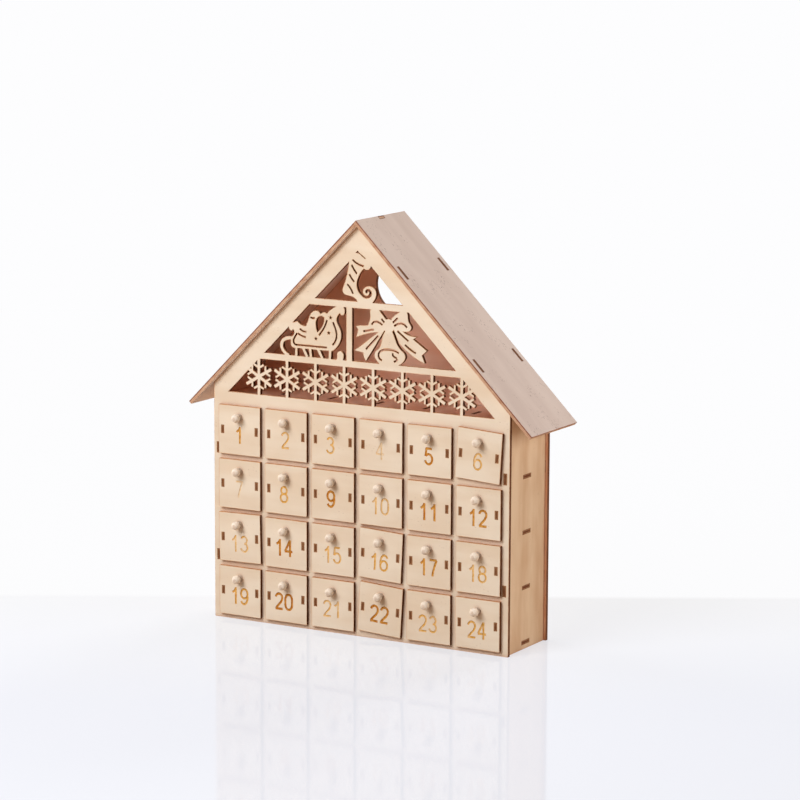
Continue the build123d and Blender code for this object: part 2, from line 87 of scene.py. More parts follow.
def add(tree, kind, inputs=None, **settings):
    """Adds a node with these settings; an input is a value or another node's socket."""
    node = tree.nodes.new(kind)
    for name, value in settings.items():
        setattr(node, name, value)
    for name, value in (inputs or {}).items():
        if isinstance(value, bpy.types.NodeSocket):
            tree.links.new(value, node.inputs[name])
        else:
            node.inputs[name].default_value = value
    return node


print("cream in linear light:", [round(s, 3) for s in linear("#EED7B8")])

# %% [markdown]
# ## Plywood faces
# The sheets are basswood plywood: a pale, close-grained face with soft clouds of tone, hardly
# visible fibre lines and here and there a cluster of short dark pores. The laser that cut the
# sheets left an orange-brown scorch close to every cut. A photograph of wood would be one way
# to get this, but a pattern made of noise can follow each sheet's own grain and never repeats.
# It reads a UV map in millimetres along and across the grain, so every scale below is a real
# size, and an attribute that is 1 at a cut and fades to 0 inside the sheet. Narrow corners are
# painted a warm brown: painted shade, where the corners get less light.

# %% Basswood plywood
def basswood(name, pale, deep, pore, scorch, pore_share, corner_shade_share):
    """A sanded plywood face: soft reflection, cloudy tone, fine fibres, pores, scorched rims and
    painted shade in corners.
    """
    material = bpy.data.materials.new(name)
    material.use_nodes = True
    tree = material.node_tree
    shader = tree.nodes["Principled BSDF"]
    place = add(tree, "ShaderNodeUVMap", uv_map="sheet_mm").outputs["UV"]

    # Clouds of tone 70 mm long and 22 mm wide
    cloud_place = add(tree, "ShaderNodeMapping", {"Vector": place, "Scale": (1 / 70, 1 / 22, 1)})
    cloud = add(tree, "ShaderNodeTexNoise",
                {"Vector": cloud_place.outputs[0], "Scale": 1.0, "Detail": 3.0, "Roughness": 0.5})

    # Fibres 25 mm long; real ones are 0.1 mm wide, drawn 0.5 mm wide so that they show
    fibre_place = add(tree, "ShaderNodeMapping", {"Vector": place, "Scale": (1 / 25, 1 / 0.5, 1)})
    fibre = add(tree, "ShaderNodeTexNoise",
                {"Vector": fibre_place.outputs[0], "Scale": 1.0, "Detail": 4.0})

    # Growth bands 9 mm wide that wander along the grain
    band_place = add(tree, "ShaderNodeMapping", {"Vector": place, "Scale": (1 / 140, 1 / 9, 1)})
    band = add(tree, "ShaderNodeTexNoise",
               {"Vector": band_place.outputs[0], "Scale": 1.0, "Detail": 2.0, "Distortion": 0.8})

    # Clouds weigh most, then bands, and fibres hardly at all
    soft = add(tree, "ShaderNodeMath", {0: cloud.outputs["Fac"], 1: 0.8}, operation="MULTIPLY")
    lines = add(tree, "ShaderNodeMath", {0: fibre.outputs["Fac"], 1: 0.05, 2: soft.outputs[0]},
                operation="MULTIPLY_ADD")
    tone = add(tree, "ShaderNodeMath", {0: band.outputs["Fac"], 1: 0.15, 2: lines.outputs[0]},
               operation="MULTIPLY_ADD")
    share = add(tree, "ShaderNodeMapRange",
                {"Value": tone.outputs[0], "From Min": 0.36, "From Max": 0.64},
                interpolation_type="SMOOTHSTEP")
    face = add(tree, "ShaderNodeMix", {0: share.outputs[0], 6: linear(pale), 7: linear(deep)},
               data_type="RGBA")

    # Pores: dashes 2 mm long in clusters 20 mm across
    pore_place = add(tree, "ShaderNodeMapping", {"Vector": place, "Scale": (1 / 2, 1 / 0.8, 1)})
    dash = add(tree, "ShaderNodeTexNoise",
               {"Vector": pore_place.outputs[0], "Scale": 1.0, "Detail": 1.0})
    cluster_place = add(tree, "ShaderNodeMapping", {"Vector": place, "Scale": (1 / 20, 1 / 12, 1)})
    cluster = add(tree, "ShaderNodeTexNoise", {"Vector": cluster_place.outputs[0], "Scale": 1.0})
    dark_dash = add(tree, "ShaderNodeMapRange",
                    {"Value": dash.outputs["Fac"], "From Min": 0.7 - 0.1 * pore_share,
                     "From Max": 0.76 - 0.1 * pore_share})
    in_cluster = add(tree, "ShaderNodeMapRange",
                     {"Value": cluster.outputs["Fac"], "From Min": 0.52, "From Max": 0.64,
                      "To Max": pore_share})
    pores = add(tree, "ShaderNodeMath", {0: dark_dash.outputs[0], 1: in_cluster.outputs[0]},
                operation="MULTIPLY")
    wood = add(tree, "ShaderNodeMix", {0: pores.outputs[0], 6: face.outputs[2], 7: linear(pore)},
               data_type="RGBA")

    # Scorch: strong at the cut, broken up every 9 mm where the laser ran slower or faster
    rim = add(tree, "ShaderNodeAttribute", attribute_name="scorch").outputs["Fac"]
    speed_place = add(tree, "ShaderNodeMapping", {"Vector": place, "Scale": (1 / 9, 1 / 9, 1)})
    speed = add(tree, "ShaderNodeTexNoise", {"Vector": speed_place.outputs[0], "Scale": 1.0})
    scorch_and_neck_shade = add(tree, "ShaderNodeMapRange",
               {"Value": speed.outputs["Fac"], "From Min": 0.35, "From Max": 0.65,
                "To Min": 0.5, "To Max": 1.0})
    burn = add(tree, "ShaderNodeMath", {0: rim, 1: scorch_and_neck_shade.outputs[0]}, operation="MULTIPLY")
    burnt = add(tree, "ShaderNodeMix", {0: burn.outputs[0], 6: wood.outputs[2], 7: linear(scorch)},
                data_type="RGBA")

    # Painted shade: corners up to 4 mm wide are painted a warm brown, darker the less open they are
    open_sky = add(tree, "ShaderNodeAmbientOcclusion", {"Distance": 4 * mm}, samples=6)
    painted_corner_shade = add(tree, "ShaderNodeMapRange",
                {"Value": open_sky.outputs["AO"], "From Min": 0.85, "From Max": 0.3,
                 "To Max": corner_shade_share})
    colour = add(tree, "ShaderNodeMix",
                 {0: painted_corner_shade.outputs[0], 6: burnt.outputs[2], 7: linear("#AE5A22")}, data_type="RGBA")
    tree.links.new(colour.outputs[2], shader.inputs["Base Color"])

    # Sanded wood: rougher where fibres stand up, and a relief of a few hundredths of a millimetre
    rough = add(tree, "ShaderNodeMapRange",
                {"Value": fibre.outputs["Fac"], "To Min": 0.56, "To Max": 0.74})
    tree.links.new(rough.outputs[0], shader.inputs["Roughness"])
    relief = add(tree, "ShaderNodeBump",
                 {"Height": fibre.outputs["Fac"], "Strength": 0.2, "Distance": 0.04 * mm})
    tree.links.new(relief.outputs[0], shader.inputs["Normal"])
    shader.inputs["Specular IOR Level"].default_value = 0.1
    return material


face_wood = basswood("basswood_plywood_face",
                     "#F1E1CB", "#E9D4BA", "#8E6142", "#DCA066", 0.3, 0.55)
wall_wood = basswood("basswood_plywood_tan_face",
                     "#E6C7A4", "#D3AC87", "#8A5A3A", "#A8642F", 0.4, 0.3)
roof_wood = basswood("basswood_plywood_grey_face",
                     "#D6C2B5", "#CCB6A9", "#6E4438", "#A8643E", 0.75, 0.3)
inner_wood = basswood("basswood_plywood_inside",
                      "#FFD8C0", "#F9C3A5", "#8A5236", "#A8643C", 0.3, 0.0)
# Painted light: the roof slabs' undersides are made paler to stand in for light from below
roof_inside_painted_light = basswood("basswood_plywood_underside_painted_light",
                       "#FBECE4", "#F3E0D5", "#8A5236", "#A8643C", 0.3, 0.0)
print("materials:", [m.name for m in (face_wood, wall_wood, roof_wood, inner_wood, roof_inside_painted_light)])

# %% [markdown]
# ## Burnt edges
# Where the laser went through, the wood is charred: brown, matt, and striped along the sheet
# because the glue lines between the three plies burn blacker than the wood. Cuts across the
# grain are painted much darker than cuts along it: partly the darker char of open pores, and
# partly painted shade, since on the drawer plates these are the side edges. The ends of tabs are
# painted dark as shade in their slots. The roof's edges were cut faster and are lighter, but for a
# dark line along the outer arris. The edge faces have the same UV map, which there runs along
# the cut and across the thickness, so the plies lie at their real depth.

# %% Charred plywood edge
def charred_edge(name, dark, light, glue_share, char_and_shade_share, arris, arris_share):
    """A laser-cut edge: soot-dark, rough, three plies with black glue lines."""
    material = bpy.data.materials.new(name)
    material.use_nodes = True
    tree = material.node_tree
    shader = tree.nodes["Principled BSDF"]
    place = add(tree, "ShaderNodeUVMap", uv_map="sheet_mm").outputs["UV"]

    # Soot that varies every 7 mm along the cut, with streaks across it 0.5 mm apart
    soot_place = add(tree, "ShaderNodeMapping", {"Vector": place, "Scale": (1 / 7, 1 / 3, 1)})
    soot = add(tree, "ShaderNodeTexNoise",
               {"Vector": soot_place.outputs[0], "Scale": 1.0, "Detail": 3.0})
    streak_place = add(tree, "ShaderNodeMapping", {"Vector": place, "Scale": (1 / 0.5, 1 / 5, 1)})
    streak = add(tree, "ShaderNodeTexNoise", {"Vector": streak_place.outputs[0], "Scale": 1.0})
    mixed = add(tree, "ShaderNodeMath",
                {0: streak.outputs["Fac"], 1: 0.35, 2: soot.outputs["Fac"]},
                operation="MULTIPLY_ADD")
    share = add(tree, "ShaderNodeMapRange",
                {"Value": mixed.outputs[0], "From Min": 0.45, "From Max": 0.9})
    long_char = add(tree, "ShaderNodeMix",
                    {0: share.outputs[0], 6: linear(dark), 7: linear(light)}, data_type="RGBA")

    # End grain chars darker; this darkening is also painted shade on the side edges of the drawer
    # plates and on tab ends in their slots
    charring_and_side_shade = add(tree, "ShaderNodeAttribute", attribute_name="charring_and_side_shade").outputs["Fac"]
    deep = add(tree, "ShaderNodeMath", {0: charring_and_side_shade, 1: char_and_shade_share}, operation="MULTIPLY")
    char = add(tree, "ShaderNodeMix",
               {0: deep.outputs[0], 6: long_char.outputs[2], 7: linear("#3E1008")},
               data_type="RGBA")

    # Glue lines 0.45 mm from the sheet's middle and 0.28 mm thick
    across = add(tree, "ShaderNodeSeparateXYZ", {"Vector": place}).outputs["Y"]
    depth = add(tree, "ShaderNodeMath", {0: across}, operation="ABSOLUTE")
    line = add(tree, "ShaderNodeMath", {0: depth.outputs[0], 1: 0.45, 2: 0.14}, operation="COMPARE")
    glue = add(tree, "ShaderNodeMath", {0: line.outputs[0], 1: glue_share}, operation="MULTIPLY")
    plies = add(tree, "ShaderNodeMix",
                {0: glue.outputs[0], 6: char.outputs[2], 7: linear("#36190B")}, data_type="RGBA")

    # The outer arris, where the beam went in, has a tone of its own
    entry = add(tree, "ShaderNodeMapRange",
                {"Value": across, "From Min": 0.2, "From Max": 0.9, "To Max": arris_share})
    burnt = add(tree, "ShaderNodeMix",
                {0: entry.outputs[0], 6: plies.outputs[2], 7: linear(arris)}, data_type="RGBA")

    # Painted shade: a near-black rim for the shadowed gap round the end of a tab
    gap_shade = add(tree, "ShaderNodeAttribute", attribute_name="gap_shade").outputs["Fac"]
    colour = add(tree, "ShaderNodeMix",
                 {0: gap_shade, 6: burnt.outputs[2], 7: linear("#1E0C06")}, data_type="RGBA")
    tree.links.new(colour.outputs[2], shader.inputs["Base Color"])
    rough = add(tree, "ShaderNodeMapRange",
                {"Value": soot.outputs["Fac"], "To Min": 0.7, "To Max": 0.95})
    tree.links.new(rough.outputs[0], shader.inputs["Roughness"])
    relief = add(tree, "ShaderNodeBump",
                 {"Height": streak.outputs["Fac"], "Strength": 0.4, "Distance": 0.06 * mm})
    tree.links.new(relief.outputs[0], shader.inputs["Normal"])
    shader.inputs["Specular IOR Level"].default_value = 0.1
    return material


edge_char = charred_edge("laser_charred_plywood_edge",
                         "#AC6A40", "#E6AA78", 0.35, 0.82, "#CC8C58", 0.1)
light_char = charred_edge("lightly_charred_plywood_edge",
                          "#BC8868", "#E4BE9E", 0.3, 0.0, "#7A3826", 0.85)
print("materials:", edge_char.name, light_char.name)

# %% [markdown]
# ## Sheets
# Every wooden piece but the knobs is a flat sheet, so one function can dress them all. It takes
# a copy of the CAD piece, welds it, finds each loose sheet and the direction it faces, and
# sorts its faces into two broad sides and the cut edges between them. The broad sides are
# inset by the width of the scorch, which gives the material a fading rim without any painting.
# The ends of tabs, which show in the slots of other sheets, get a rim of painted shade the same way,
# for the gap round them.
# Each cut face also stores how much it is darkened, as char and as painted shade: fully across the
# grain, not at all along it, and nearly fully at the ends of tabs.
# The piece then replaces its CAD node and rides on the same body.

# %% Sheet tools
scorch_width = 0.55 * mm
tab_shade_width = 0.8 * mm
longest_tab = 20 * mm
# How dark the ends of tabs are painted, as shade in their slots
painted_tab_shade = 0.95
same_way = 0.9  # two directions count as one when their dot product is larger
house_middle = Vector((0, 0.003, 0.14))
outer_slot, inner_slot, cut_slot, burn_slot = range(4)


def loose_sheets(bm):
    """The mesh's faces in groups that hang together, each group one sheet of plywood."""
    bm.faces.ensure_lookup_table()
    seen = set()
    sheets = []
    for first in bm.faces:
        if first in seen:
            continue
        seen.add(first)
        sheet = [first]
        for face in sheet:
            for edge in face.edges:
                for other in edge.link_faces:
                    if other not in seen:
                        seen.add(other)
                        sheet.append(other)
        sheets.append(sheet)
    return sheets


def broad_side(sheet):
    """The direction that the sheet's broad sides face: where most of its area looks."""
    areas = {}
    for face in sheet:
        turned = face.normal if max(face.normal, key=abs) > 0 else -face.normal
        key = tuple(round(part, 2) for part in turned)
        areas[key] = areas.get(key, 0) + face.calc_area()
    return Vector(max(areas, key=areas.get)).normalized()


def tab_ends(sheet, edges):
    """The short cut faces that stand out farthest in the direction they look."""
    corners = {corner for face in sheet for corner in face.verts}
    ends = []
    for face in edges:
        reach = max(corner.co.dot(face.normal) for corner in corners)
        short = max(edge.calc_length() for edge in face.edges) < longest_tab
        if short and face.verts[0].co.dot(face.normal) > reach - 0.01 * mm:
            ends.append(face)
    return ends


def ease_rims(bm, broad, rims, middle, facing):
    """Draws inset corners back to the cut where the wood is too narrow for two whole rims."""
    inset = {corner for face in broad for corner in face.verts}
    cut_corner = {}
    for face in rims:
        for edge in face.edges:
            for corner, other in (edge.verts, reversed(edge.verts)):
                if corner in inset and other not in inset:
                    cut_corner[corner] = other
    folded = True
    while folded:
        bm.normal_update()
        folded = [face for face in broad + rims
                  if face.normal.dot(facing) * (face.calc_center_median() - middle).dot(facing) < 0]
        for corner in {corner for face in folded for corner in face.verts if corner in cut_corner}:
            corner.co = corner.co.lerp(cut_corner[corner].co, 0.5)


def dress_sheets(name, outer, inner, cut):
    """A dressed copy of a CAD node: broad sides, cut edges, scorched rims and a UV map."""
    bm = bmesh.new()
    bm.from_mesh(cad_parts[name].data)
    bmesh.ops.remove_doubles(bm, verts=bm.verts, dist=0.001 * mm)
    bm.normal_update()
    uv = bm.loops.layers.uv.new("sheet_mm")
    charring_and_side_shade = bm.faces.layers.float.new("charring_and_side_shade")
    scorch = bm.verts.layers.float.new("scorch")
    gap_shade = bm.verts.layers.float.new("gap_shade")
    for number, sheet in enumerate(loose_sheets(bm)):
        facing = broad_side(sheet)
        middle = sum((face.calc_center_median() * face.calc_area() for face in sheet), Vector())
        middle /= sum(face.calc_area() for face in sheet)
        outward = facing if facing.dot(middle - house_middle) > 0 else -facing
        broad = [face for face in sheet if abs(face.normal.dot(facing)) > same_way]
        edges = [face for face in sheet if abs(face.normal.dot(facing)) <= same_way]
        for face in edges:
            face.material_index = cut_slot
            for corner in face.verts:
                corner[scorch] = 1
        for face in broad:
            face.material_index = outer_slot if face.normal.dot(outward) > 0 else inner_slot
        rims = bmesh.ops.inset_region(bm, faces=broad, thickness=scorch_width)["faces"]
        ease_rims(bm, broad, rims, middle, facing)
        for face in broad:
            for corner in face.verts:
                corner[scorch] = 0
        for face in rims:
            face.material_index = outer_slot if face.normal.dot(outward) > 0 else inner_slot
        # Tab ends get an inset rim that is painted as the shade of the gap round them
        ends = tab_ends(sheet, edges)
        for corner in {corner for face in ends for corner in face.verts}:
            corner[gap_shade] = 1
        tab_shade_rims = bmesh.ops.inset_region(bm, faces=ends, thickness=tab_shade_width)["faces"]
        for corner in {corner for face in ends for corner in face.verts}:
            corner[gap_shade] = 0
        for face in tab_shade_rims:
            face.material_index = cut_slot

        # Grain runs up walls, roof slabs and tray sides, across panels and plates, and from front
        # to back in shelves; each sheet was cut from another place of its board
        up = Vector((0, 0, 1)) if abs(facing.z) < same_way else Vector((1, 0, 0))
        across = facing.cross(up).normalized()
        along = across.cross(facing).normalized()
        if abs(facing.x) < 0.5:
            along, across = across, along
        board = Vector((len(name) * 37.0 + number * 113.0,
                        sum(map(ord, name)) * 7.3 + number * 61.0))
        for face in broad + rims:
            for loop in face.loops:
                at = loop.vert.co / mm
                loop[uv].uv = (at.dot(along) + board.x, at.dot(across) + board.y)
        for face in edges + tab_shade_rims:
            run = facing.cross(face.normal).normalized()
            # Across the grain the cut chars darker, and on the drawer plates this also paints shade
            # on the side edges
            face[charring_and_side_shade] = abs(face.normal.dot(along))
            for loop in face.loops:
                at = loop.vert.co / mm
                loop[uv].uv = (at.dot(run) + board.x, (at - middle / mm).dot(outward))
        # Tab ends are painted dark as shade in their slots
        for face in ends:
            face[charring_and_side_shade] = painted_tab_shade
    mesh = bpy.data.meshes.new(name + "_wood")
    bm.to_mesh(mesh)
    bm.free()
    for material in (outer, inner, cut):
        mesh.materials.append(material)
    piece = bpy.data.objects.new(name + "_wood", mesh)
    scene.collection.objects.link(piece)
    return piece


print("scorch width:", scorch_width / mm, "mm")

# %% [markdown]
# ## The house
# Panels, walls, roof slabs, shelves and dividers. The good face of each sheet looks out and
# the redder back face looks into the house; under the roof slabs it is painted paler, as painted
# light for the light that reaches the undersides from below. The walls show a tanner face than
# the panels and the roof slabs a greyer one.

# %% Dress the house
outer_wood = {"left_wall": wall_wood, "right_wall": wall_wood,
              "left_roof": roof_wood, "right_roof": roof_wood,
              "front_panel": face_wood, "back_panel": face_wood}
roof_slabs = ("left_roof", "right_roof")
house_nodes = [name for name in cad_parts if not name.startswith(("drawer_box", "knob"))]
for name in sorted(house_nodes):
    piece = dress_sheets(name, outer_wood.get(name, inner_wood),
                         roof_inside_painted_light if name in roof_slabs else inner_wood,
                         light_char if name in roof_slabs else edge_char)
    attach(piece, "carcass")
    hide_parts(name)
print("house pieces:", len(house_nodes))

# %% [markdown]
# ## The burn of the numerals
# The numerals 1 to 24 were drawn on the drawers with a weak laser beam, which turns the wood
# honey-coloured, or brown where it dwelt. Some numerals came out dark and some faint, so the
# material reads an attribute that says how strongly each one was burnt.

# %% Engraved wood
def engraved_wood():
    """Wood browned by a weak laser: matt, honey to brown, uneven along the strokes."""
    material = bpy.data.materials.new("laser_engraved_basswood")
    material.use_nodes = True
    tree = material.node_tree
    shader = tree.nodes["Principled BSDF"]
    place = add(tree, "ShaderNodeTexCoord").outputs["Object"]
    strength = add(tree, "ShaderNodeAttribute", attribute_name="burn").outputs["Fac"]

    # The burn is uneven every 2 mm along a stroke
    stroke = add(tree, "ShaderNodeTexNoise",
                 {"Vector": place, "Scale": 1 / (2 * mm), "Detail": 2.0})
    uneven = add(tree, "ShaderNodeMapRange",
                 {"Value": stroke.outputs["Fac"], "From Min": 0.3, "From Max": 0.7,
                  "To Min": -0.2, "To Max": 0.2})
    share = add(tree, "ShaderNodeMath", {0: strength, 1: uneven.outputs[0]}, operation="ADD",
                use_clamp=True)
    colour = add(tree, "ShaderNodeValToRGB", {0: share.outputs[0]})
    stops = colour.color_ramp.elements
    stops[0].color = linear("#EDD1AB")
    stops[1].color = linear("#B0600C")
    stops.new(0.45).color = linear("#E2AB58")
    tree.links.new(colour.outputs[0], shader.inputs["Base Color"])
    rough = add(tree, "ShaderNodeMapRange",
                {"Value": stroke.outputs["Fac"], "To Min": 0.7, "To Max": 0.9})
    tree.links.new(rough.outputs[0], shader.inputs["Roughness"])
    shader.inputs["Specular IOR Level"].default_value = 0.1
    return material


engraving = engraved_wood()
print("material:", engraving.name)

# %% [markdown]
# ## Shapes that repeat
# Numerals and knobs repeat with one thing changed, which is what Geometry Nodes are good at.
# Three small functions start a tree with named inputs, end it in plain geometry with a
# material, and turn what it grows into an ordinary mesh.

# %% Tree helpers
def new_tree(name, sockets):
    """A Geometry Nodes tree with these named inputs; returns the tree and its inputs."""
    tree = bpy.data.node_groups.new(name, "GeometryNodeTree")
    tree.interface.new_socket("Geometry", in_out="OUTPUT", socket_type="NodeSocketGeometry")
    tree.interface.new_socket("Geometry", in_out="INPUT", socket_type="NodeSocketGeometry")
    for label, kind in sockets.items():
        tree.interface.new_socket(label, in_out="INPUT", socket_type="NodeSocket" + kind)
    return tree, add(tree, "NodeGroupInput").outputs


def end_tree(tree, geometry, material):
    """Ends a tree in plain geometry with its material."""
    plain = add(tree, "GeometryNodeRealizeInstances", {"Geometry": geometry})
    coated = add(tree, "GeometryNodeSetMaterial",
                 {"Geometry": plain.outputs[0], "Material": material})
    add(tree, "NodeGroupOutput", {"Geometry": coated.outputs[0]})


def grown(tree, name, values, start=None):
    """The mesh that a tree makes of a start mesh with these inputs, as a plain object."""
    seed = bpy.data.objects.new(name, start or bpy.data.meshes.new(name))
    scene.collection.objects.link(seed)
    modifier = seed.modifiers.new("grow", "NODES")
    modifier.node_group = tree
    for item in tree.interface.items_tree:
        if item.in_out == "INPUT" and item.name in values:
            modifier[item.identifier] = values[item.name]
    shape = seed.evaluated_get(bpy.context.evaluated_depsgraph_get())
    mesh = bpy.data.meshes.new_from_object(shape)
    seed.modifiers.remove(modifier)
    seed.data = mesh
    return seed


print("helpers: new_tree, end_tree, grown")

# %% [markdown]
# ## The strokes of the numerals
# The numerals are plain upright ones: a 1 with a flag and no foot, a closed 4, round bowls.
# A font would do, but the one that comes with Blender has another 1 and thinner lines. Ten
# digits are soon drawn as strokes in a box from -1 to 1: straight runs between points, and
# bends that are parts of an ellipse. A path that ends where it began is a ring.

# %% Strokes of ten digits
def bend(x, y, across, up, first, last):
    """Points along an ellipse round (x, y), about every 12 degrees from first to last."""
    steps = max(4, round(abs(last - first) / 12))
    turns = [radians(first + (last - first) * step / steps) for step in range(steps + 1)]
    return [(x + across * cos(turn), y + up * sin(turn)) for turn in turns]


foot = -1.11
head = 1.11
digit_strokes = {
    "0": [bend(0, 0.3, 1, 0.7, 0, 180) + bend(0, -0.3, 1, 0.7, 180, 360) + [(1, 0.3)]],
    "1": [[(0.3, foot), (0.3, head)], [(0.3, 0.98), (0.02, 0.72), (-0.3, 0.56), (-0.72, 0.42)]],
    "2": [bend(0, 0.47, 0.97, 0.53, 172, -25)
          + [(0.58, -0.08), (0.02, -0.4), (-0.55, -0.72), (-0.9, -1)],
          [(-1.1, -1), (1.08, -1)]],
    "3": [bend(-0.03, 0.52, 0.86, 0.48, 160, -88), bend(-0.03, -0.45, 1, 0.55, 88, -165)],
    "4": [[(0.42, 1.08), (-1.06, -0.42)], [(-1.15, -0.42), (1.15, -0.42)],
          [(0.45, head), (0.45, foot)]],
    "5": [[(-0.72, 1), (0.88, 1)], [(-0.62, 1.08), (-0.86, 0)], bend(0, -0.36, 1, 0.64, 146, -165)],
    "6": [bend(0, -0.38, 1, 0.62, 0, 360), bend(0.1, 0.05, 1.1, 0.95, 190, 38)],
    "7": [[(-1.02, 1), (1.04, 1)],
          [(0.98, 1), (0.5, 0.36), (0.12, -0.3), (-0.12, -0.8), (-0.2, foot)]],
    "8": [bend(0, 0.53, 0.84, 0.47, 0, 360), bend(0, -0.45, 1, 0.55, 0, 360)],
    "9": [bend(0, 0.38, 1, 0.62, 0, 360), bend(-0.1, -0.05, 1.1, 0.95, 10, -142)]}
half_digit = Vector((2.7 * mm, 5.3 * mm))
digit_step = 7.8 * mm


def number_lines(number):
    """A mesh of the bare strokes of a number, flat and centred."""
    points = []
    edges = []
    for place, digit in enumerate(str(number)):
        shift = (place - (len(str(number)) - 1) / 2) * digit_step
        for stroke in digit_strokes[digit]:
            ring = max(abs(a - b) for a, b in zip(stroke[0], stroke[-1])) < 0.001
            path = stroke[:-1] if ring else stroke
            first = len(points)
            points += [(shift + x * half_digit.x, y * half_digit.y, 0) for x, y in path]
            edges += [(first + n, first + n + 1) for n in range(len(path) - 1)]
            edges += [(first + len(path) - 1, first)] if ring else []
    lines = bpy.data.meshes.new(f"strokes_{number:02d}")
    lines.from_pydata(points, edges, [])
    return lines


print("strokes:", sum(len(strokes) for strokes in digit_strokes.values()))

# %% [markdown]
# ## The numerals' shape
# A numeral could be a picture on the plate, but the beam also takes off a tenth of a
# millimetre of wood. So the tree sweeps a flat bar along the strokes and stands the result
# upright on the plate, half inside it, ready to be cut out.

# %% Numeral tree
numeral_tree, given = new_tree("engraved_numeral", {
    "Stroke width": "Float", "Thickness": "Float", "Place": "Vector", "Lean": "Vector",
    "Burn": "Material"})
paths = add(numeral_tree, "GeometryNodeMeshToCurve", {"Mesh": given["Geometry"]})
level = add(numeral_tree, "GeometryNodeSetCurveNormal", {"Curve": paths.outputs[0]}, mode="Z_UP")
bar = add(numeral_tree, "GeometryNodeCurvePrimitiveQuadrilateral",
          {"Width": given["Stroke width"], "Height": given["Thickness"]})
swept = add(numeral_tree, "GeometryNodeCurveToMesh",
            {"Curve": level.outputs[0], "Profile Curve": bar.outputs[0], "Fill Caps": True})
upright = add(numeral_tree, "GeometryNodeTransform",
              {"Geometry": swept.outputs[0], "Rotation": (radians(90), 0, 0)})
placed = add(numeral_tree, "GeometryNodeTransform",
             {"Geometry": upright.outputs[0], "Rotation": given["Lean"],
              "Translation": given["Place"]})
end_tree(numeral_tree, placed.outputs[0], given["Burn"])
print("numeral tree nodes:", len(numeral_tree.nodes))

# %% [markdown]
# ## Drawers
# Each drawer is a plate with a tray behind it, and the numeral is cut out of the
# plate with a Boolean. Some drawers sit a little crooked. How far a plate leans can be read
# from the CAD: the line from the plate's middle to its knob points straight up on the drawer
# itself. The groove's faces get the fourth material of the piece, the burn. No two plates lay
# quite alike under the beam, so some numerals are a millimetre off, and a strong burn is wider.

# %% Dress the drawers
numeral_drop = 3.3 * mm
numeral_shift = -0.4 * mm
other_places = {3: (-1.5, 0), 8: (-1, 0), 9: (-1, 0.8), 14: (-1.3, 0.5), 20: (-1.3, 0.4),
                6: (0, -0.8), 13: (0, -1), 16: (-0.4, -1.5), 23: (0, -1), 24: (0, -0.6)}
finest_stroke = 1.2 * mm
stroke_growth = 0.65 * mm
engraving_depth = 0.12 * mm
usual_burn = 0.36
other_burns = {4: 0.04, 7: 0.05, 10: 0.28, 13: 0.28, 21: 0.32, 16: 0.42, 8: 0.44, 24: 0.45,
               19: 0.55, 1: 0.6, 17: 0.65, 12: 0.7, 5: 0.75, 11: 0.75, 9: 0.78, 14: 0.8,
               22: 0.8, 20: 0.82}
drawers = {}
for name in sorted(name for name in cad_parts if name.startswith("drawer_box")):
    number = int(name[-2:])
    low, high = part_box(name)
    knob_low, knob_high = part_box(f"knob_{number:02d}")
    middle = (low + high) / 2
    rise = (knob_low + knob_high) / 2 - middle
    lean = atan2(rise.x, rise.z)
    drawers[number] = (low.y, lean)
    piece = dress_sheets(name, face_wood, face_wood, edge_char)
    piece.data.materials.append(engraving)
    strength = other_burns.get(number, usual_burn)
    off = other_places.get(number, (0, 0))
    right = numeral_shift + off[0] * mm
    up = off[1] * mm - numeral_drop
    numeral = grown(numeral_tree, f"numeral_{number:02d}", {
        "Stroke width": finest_stroke + stroke_growth * strength,
        "Thickness": 2 * engraving_depth, "Burn": engraving, "Lean": (0, lean, 0),
        "Place": (middle.x + right * cos(lean) + up * sin(lean), low.y,
                  middle.z - right * sin(lean) + up * cos(lean))}, number_lines(number))
    for face in numeral.data.polygons:
        face.material_index = burn_slot
    cut = piece.modifiers.new("engrave", "BOOLEAN")
    cut.operation = "DIFFERENCE"
    cut.solver = "EXACT"
    cut.material_mode = "INDEX"
    cut.use_self = True
    cut.object = numeral
    shape = piece.evaluated_get(bpy.context.evaluated_depsgraph_get())
    engraved = bpy.data.meshes.new_from_object(shape)
    piece.modifiers.remove(cut)
    piece.data = engraved
    bpy.data.objects.remove(numeral)
    burn = engraved.attributes.new("burn", "FLOAT", "FACE")
    burn.data.foreach_set("value", [strength] * len(engraved.polygons))
    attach(piece, f"drawer_{number:02d}")
    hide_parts(name)
print("faces by material:", [sum(face.material_index == place for face in engraved.polygons)
                             for place in range(4)])
print("crooked drawers:", {number: round(degrees(lean), 1)
                           for number, (_, lean) in drawers.items() if abs(lean) > 0.01})
